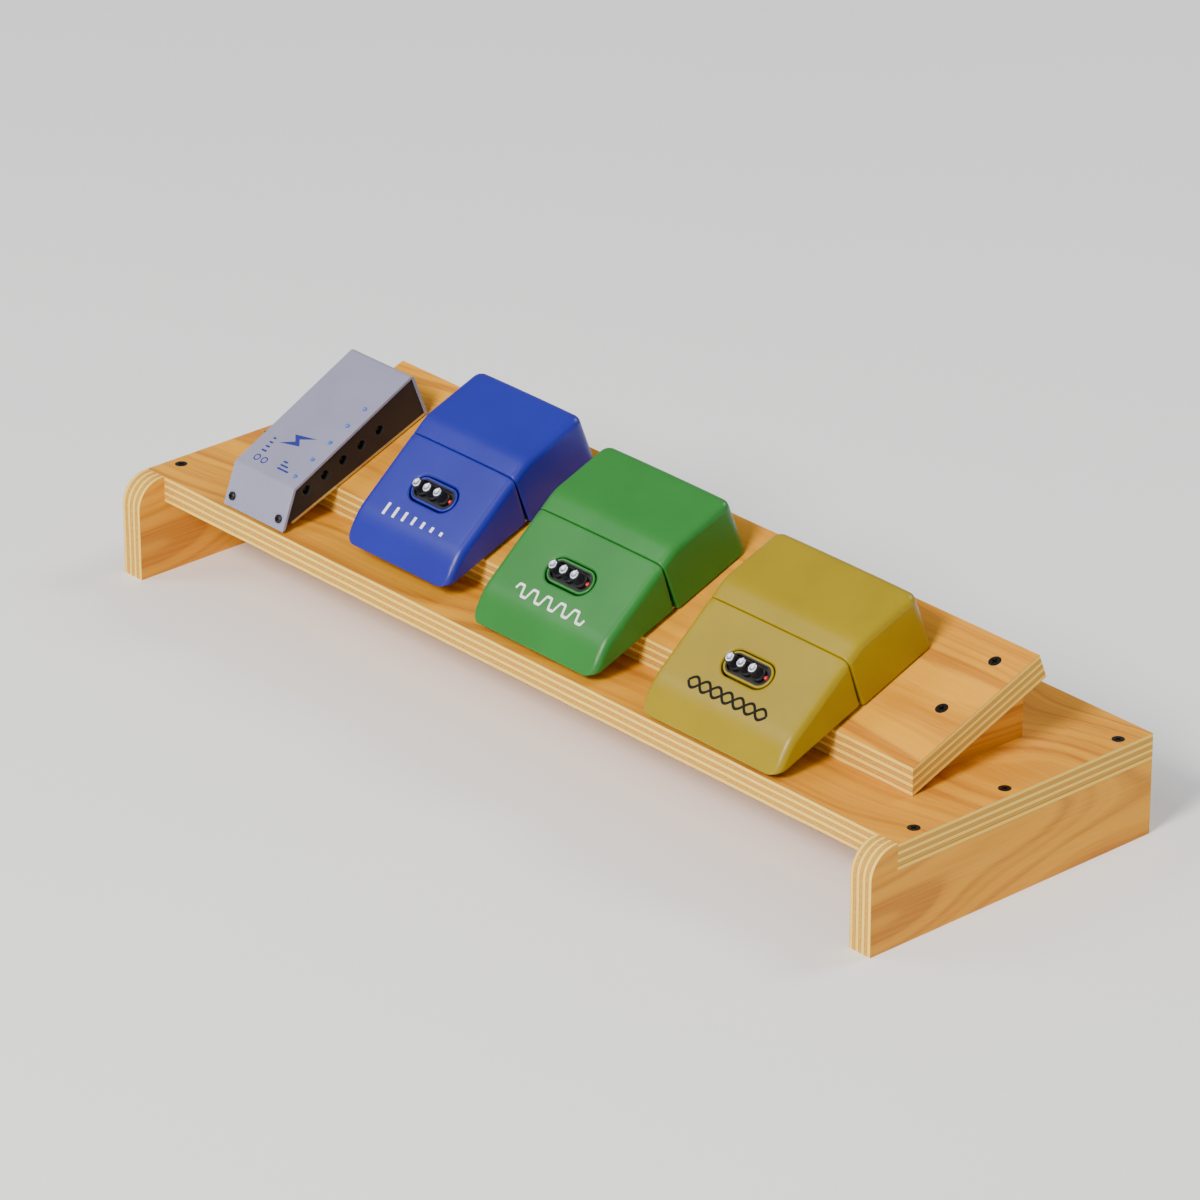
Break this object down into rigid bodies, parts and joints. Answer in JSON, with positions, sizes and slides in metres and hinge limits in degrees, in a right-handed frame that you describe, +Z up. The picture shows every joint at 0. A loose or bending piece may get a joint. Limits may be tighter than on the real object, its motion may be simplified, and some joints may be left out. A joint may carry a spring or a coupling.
{
  "type": "guitar effects pedalboard",
  "caption": "Low plywood bench with rounded cheeks and a sloped rear tier that carries a power supply and a row of effect pedals with treadles and knobs.",
  "frame": {"origin": "on the surface that the board stands on, under the middle of the board", "axes": "X along the board, -Y towards the player, +Z up"},
  "size_m": [0.6, 0.2, 0.1379],
  "materials": {
    "pine_plywood": "clear satin varnish",
    "black_screws": "black phosphate",
    "hook_and_loop": "matte",
    "zinc_steel": "zinc plated",
    "spring_steel": "bright wire",
    "nickel": "polished",
    "knob_metal": "turned, with dark sides",
    "grey_paint": "satin powder coat",
    "black_paint": "satin",
    "black_plastic": "moulded",
    "red_lens": "clear gloss",
    "blue_lens": "clear gloss",
    "copper_winding": "enamelled wire",
    "circuit_board": "solder mask",
    "delay_shell": "satin gloss",
    "overdrive_shell": "satin gloss",
    "chorus_shell": "satin gloss"
  },
  "bodies": {
    "board": {"deck_panel": "pine_plywood", "left_cheek": "pine_plywood", "right_cheek": "pine_plywood", "rear_tier": "pine_plywood", "tier_ribs": "pine_plywood", "wood_screws": "black_screws", "hook_loop_pads": "hook_and_loop", "pedal_base_screws": "zinc_steel", "pedal_hinge_pins": "zinc_steel", "pedal_jack_nuts": "nickel", "pedal_leds": "red_lens", "supply_shell": "grey_paint", "supply_end_panels": "black_paint", "supply_base_plate": "zinc_steel", "supply_screws": "black_screws", "supply_outlets": "black_plastic", "supply_transformer": "copper_winding", "supply_circuit_board": "circuit_board", "supply_leds": "blue_lens", "supply_mains_inlet": "black_plastic", "delay_housing": "delay_shell", "delay_base_plate": "zinc_steel", "delay_pots": "zinc_steel", "delay_circuit_board": "circuit_board", "delay_foot_switch": "black_plastic", "delay_return_spring": "spring_steel", "delay_jacks": "black_plastic", "delay_control_plate": "black_plastic", "overdrive_housing": "overdrive_shell", "overdrive_base_plate": "zinc_steel", "overdrive_pots": "zinc_steel", "overdrive_circuit_board": "circuit_board", "overdrive_foot_switch": "black_plastic", "overdrive_return_spring": "spring_steel", "overdrive_jacks": "black_plastic", "overdrive_control_plate": "black_plastic", "chorus_housing": "chorus_shell", "chorus_base_plate": "zinc_steel", "chorus_pots": "zinc_steel", "chorus_circuit_board": "circuit_board", "chorus_foot_switch": "black_plastic", "chorus_return_spring": "spring_steel", "chorus_jacks": "black_plastic", "chorus_control_plate": "black_plastic"},
    "delay_treadle_body": {"delay_treadle": "delay_shell"},
    "delay_plunger_body": {"delay_switch_plunger": "zinc_steel"},
    "delay_knob_left_body": {"delay_knob_left": "knob_metal"},
    "delay_knob_middle_body": {"delay_knob_middle": "knob_metal"},
    "delay_knob_right_body": {"delay_knob_right": "knob_metal"},
    "overdrive_treadle_body": {"overdrive_treadle": "overdrive_shell"},
    "overdrive_plunger_body": {"overdrive_switch_plunger": "zinc_steel"},
    "overdrive_knob_left_body": {"overdrive_knob_left": "knob_metal"},
    "overdrive_knob_middle_body": {"overdrive_knob_middle": "knob_metal"},
    "overdrive_knob_right_body": {"overdrive_knob_right": "knob_metal"},
    "chorus_treadle_body": {"chorus_treadle": "chorus_shell"},
    "chorus_plunger_body": {"chorus_switch_plunger": "zinc_steel"},
    "chorus_knob_left_body": {"chorus_knob_left": "knob_metal"},
    "chorus_knob_middle_body": {"chorus_knob_middle": "knob_metal"},
    "chorus_knob_right_body": {"chorus_knob_right": "knob_metal"}
  },
  "joints": [
    {"name": "delay_treadle_press", "type": "hinge", "parent": "board", "child": "delay_treadle_body", "pos_m": [-0.1, -0.02332, 0.10228], "axis": [1, 0, 0], "range_deg": [0, 2.5], "stiffness_Nm_per_rad": 2, "springref_deg": -5.73, "deforming": ["delay_return_spring"]},
    {"name": "delay_plunger_travel", "type": "slide", "parent": "board", "child": "delay_plunger_body", "axis": [0, 0.3584, -0.9336], "range_m": [0, 0.0017]},
    {"name": "delay_knob_left_turn", "type": "hinge", "parent": "board", "child": "delay_knob_left_body", "pos_m": [-0.1095, -0.04259, 0.09945], "axis": [0, -0.6428, 0.766], "range_deg": [-150, 150]},
    {"name": "delay_knob_middle_turn", "type": "hinge", "parent": "board", "child": "delay_knob_middle_body", "pos_m": [-0.101, -0.04259, 0.09945], "axis": [0, -0.6428, 0.766], "range_deg": [-150, 150]},
    {"name": "delay_knob_right_turn", "type": "hinge", "parent": "board", "child": "delay_knob_right_body", "pos_m": [-0.0925, -0.04259, 0.09945], "axis": [0, -0.6428, 0.766], "range_deg": [-150, 150]},
    {"name": "overdrive_treadle_press", "type": "hinge", "parent": "board", "child": "overdrive_treadle_body", "pos_m": [0.0204, -0.03192, 0.09898], "axis": [1, 0, 0], "range_deg": [0, 2.5], "stiffness_Nm_per_rad": 2, "springref_deg": -5.73, "deforming": ["overdrive_return_spring"]},
    {"name": "overdrive_plunger_travel", "type": "slide", "parent": "board", "child": "overdrive_plunger_body", "axis": [0, 0.3584, -0.9336], "range_m": [0, 0.0017]},
    {"name": "overdrive_knob_left_turn", "type": "hinge", "parent": "board", "child": "overdrive_knob_left_body", "pos_m": [0.0109, -0.05119, 0.09615], "axis": [0, -0.6428, 0.766], "range_deg": [-150, 150]},
    {"name": "overdrive_knob_middle_turn", "type": "hinge", "parent": "board", "child": "overdrive_knob_middle_body", "pos_m": [0.0194, -0.05119, 0.09615], "axis": [0, -0.6428, 0.766], "range_deg": [-150, 150]},
    {"name": "overdrive_knob_right_turn", "type": "hinge", "parent": "board", "child": "overdrive_knob_right_body", "pos_m": [0.0279, -0.05119, 0.09615], "axis": [0, -0.6428, 0.766], "range_deg": [-150, 150]},
    {"name": "chorus_treadle_press", "type": "hinge", "parent": "board", "child": "chorus_treadle_body", "pos_m": [0.161, -0.03562, 0.09756], "axis": [1, 0, 0], "range_deg": [0, 2.5], "stiffness_Nm_per_rad": 2, "springref_deg": -5.73, "deforming": ["chorus_return_spring"]},
    {"name": "chorus_plunger_travel", "type": "slide", "parent": "board", "child": "chorus_plunger_body", "axis": [0, 0.3584, -0.9336], "range_m": [0, 0.0017]},
    {"name": "chorus_knob_left_turn", "type": "hinge", "parent": "board", "child": "chorus_knob_left_body", "pos_m": [0.1515, -0.05489, 0.09473], "axis": [0, -0.6428, 0.766], "range_deg": [-150, 150]},
    {"name": "chorus_knob_middle_turn", "type": "hinge", "parent": "board", "child": "chorus_knob_middle_body", "pos_m": [0.16, -0.05489, 0.09473], "axis": [0, -0.6428, 0.766], "range_deg": [-150, 150]},
    {"name": "chorus_knob_right_turn", "type": "hinge", "parent": "board", "child": "chorus_knob_right_body", "pos_m": [0.1685, -0.05489, 0.09473], "axis": [0, -0.6428, 0.766], "range_deg": [-150, 150]}
  ],
  "couplings": [
    {"joint": "delay_plunger_travel", "follows": "delay_treadle_press", "m_per_rad": 0.039},
    {"joint": "overdrive_plunger_travel", "follows": "overdrive_treadle_press", "m_per_rad": 0.039},
    {"joint": "chorus_plunger_travel", "follows": "chorus_treadle_press", "m_per_rad": 0.039}
  ]
}
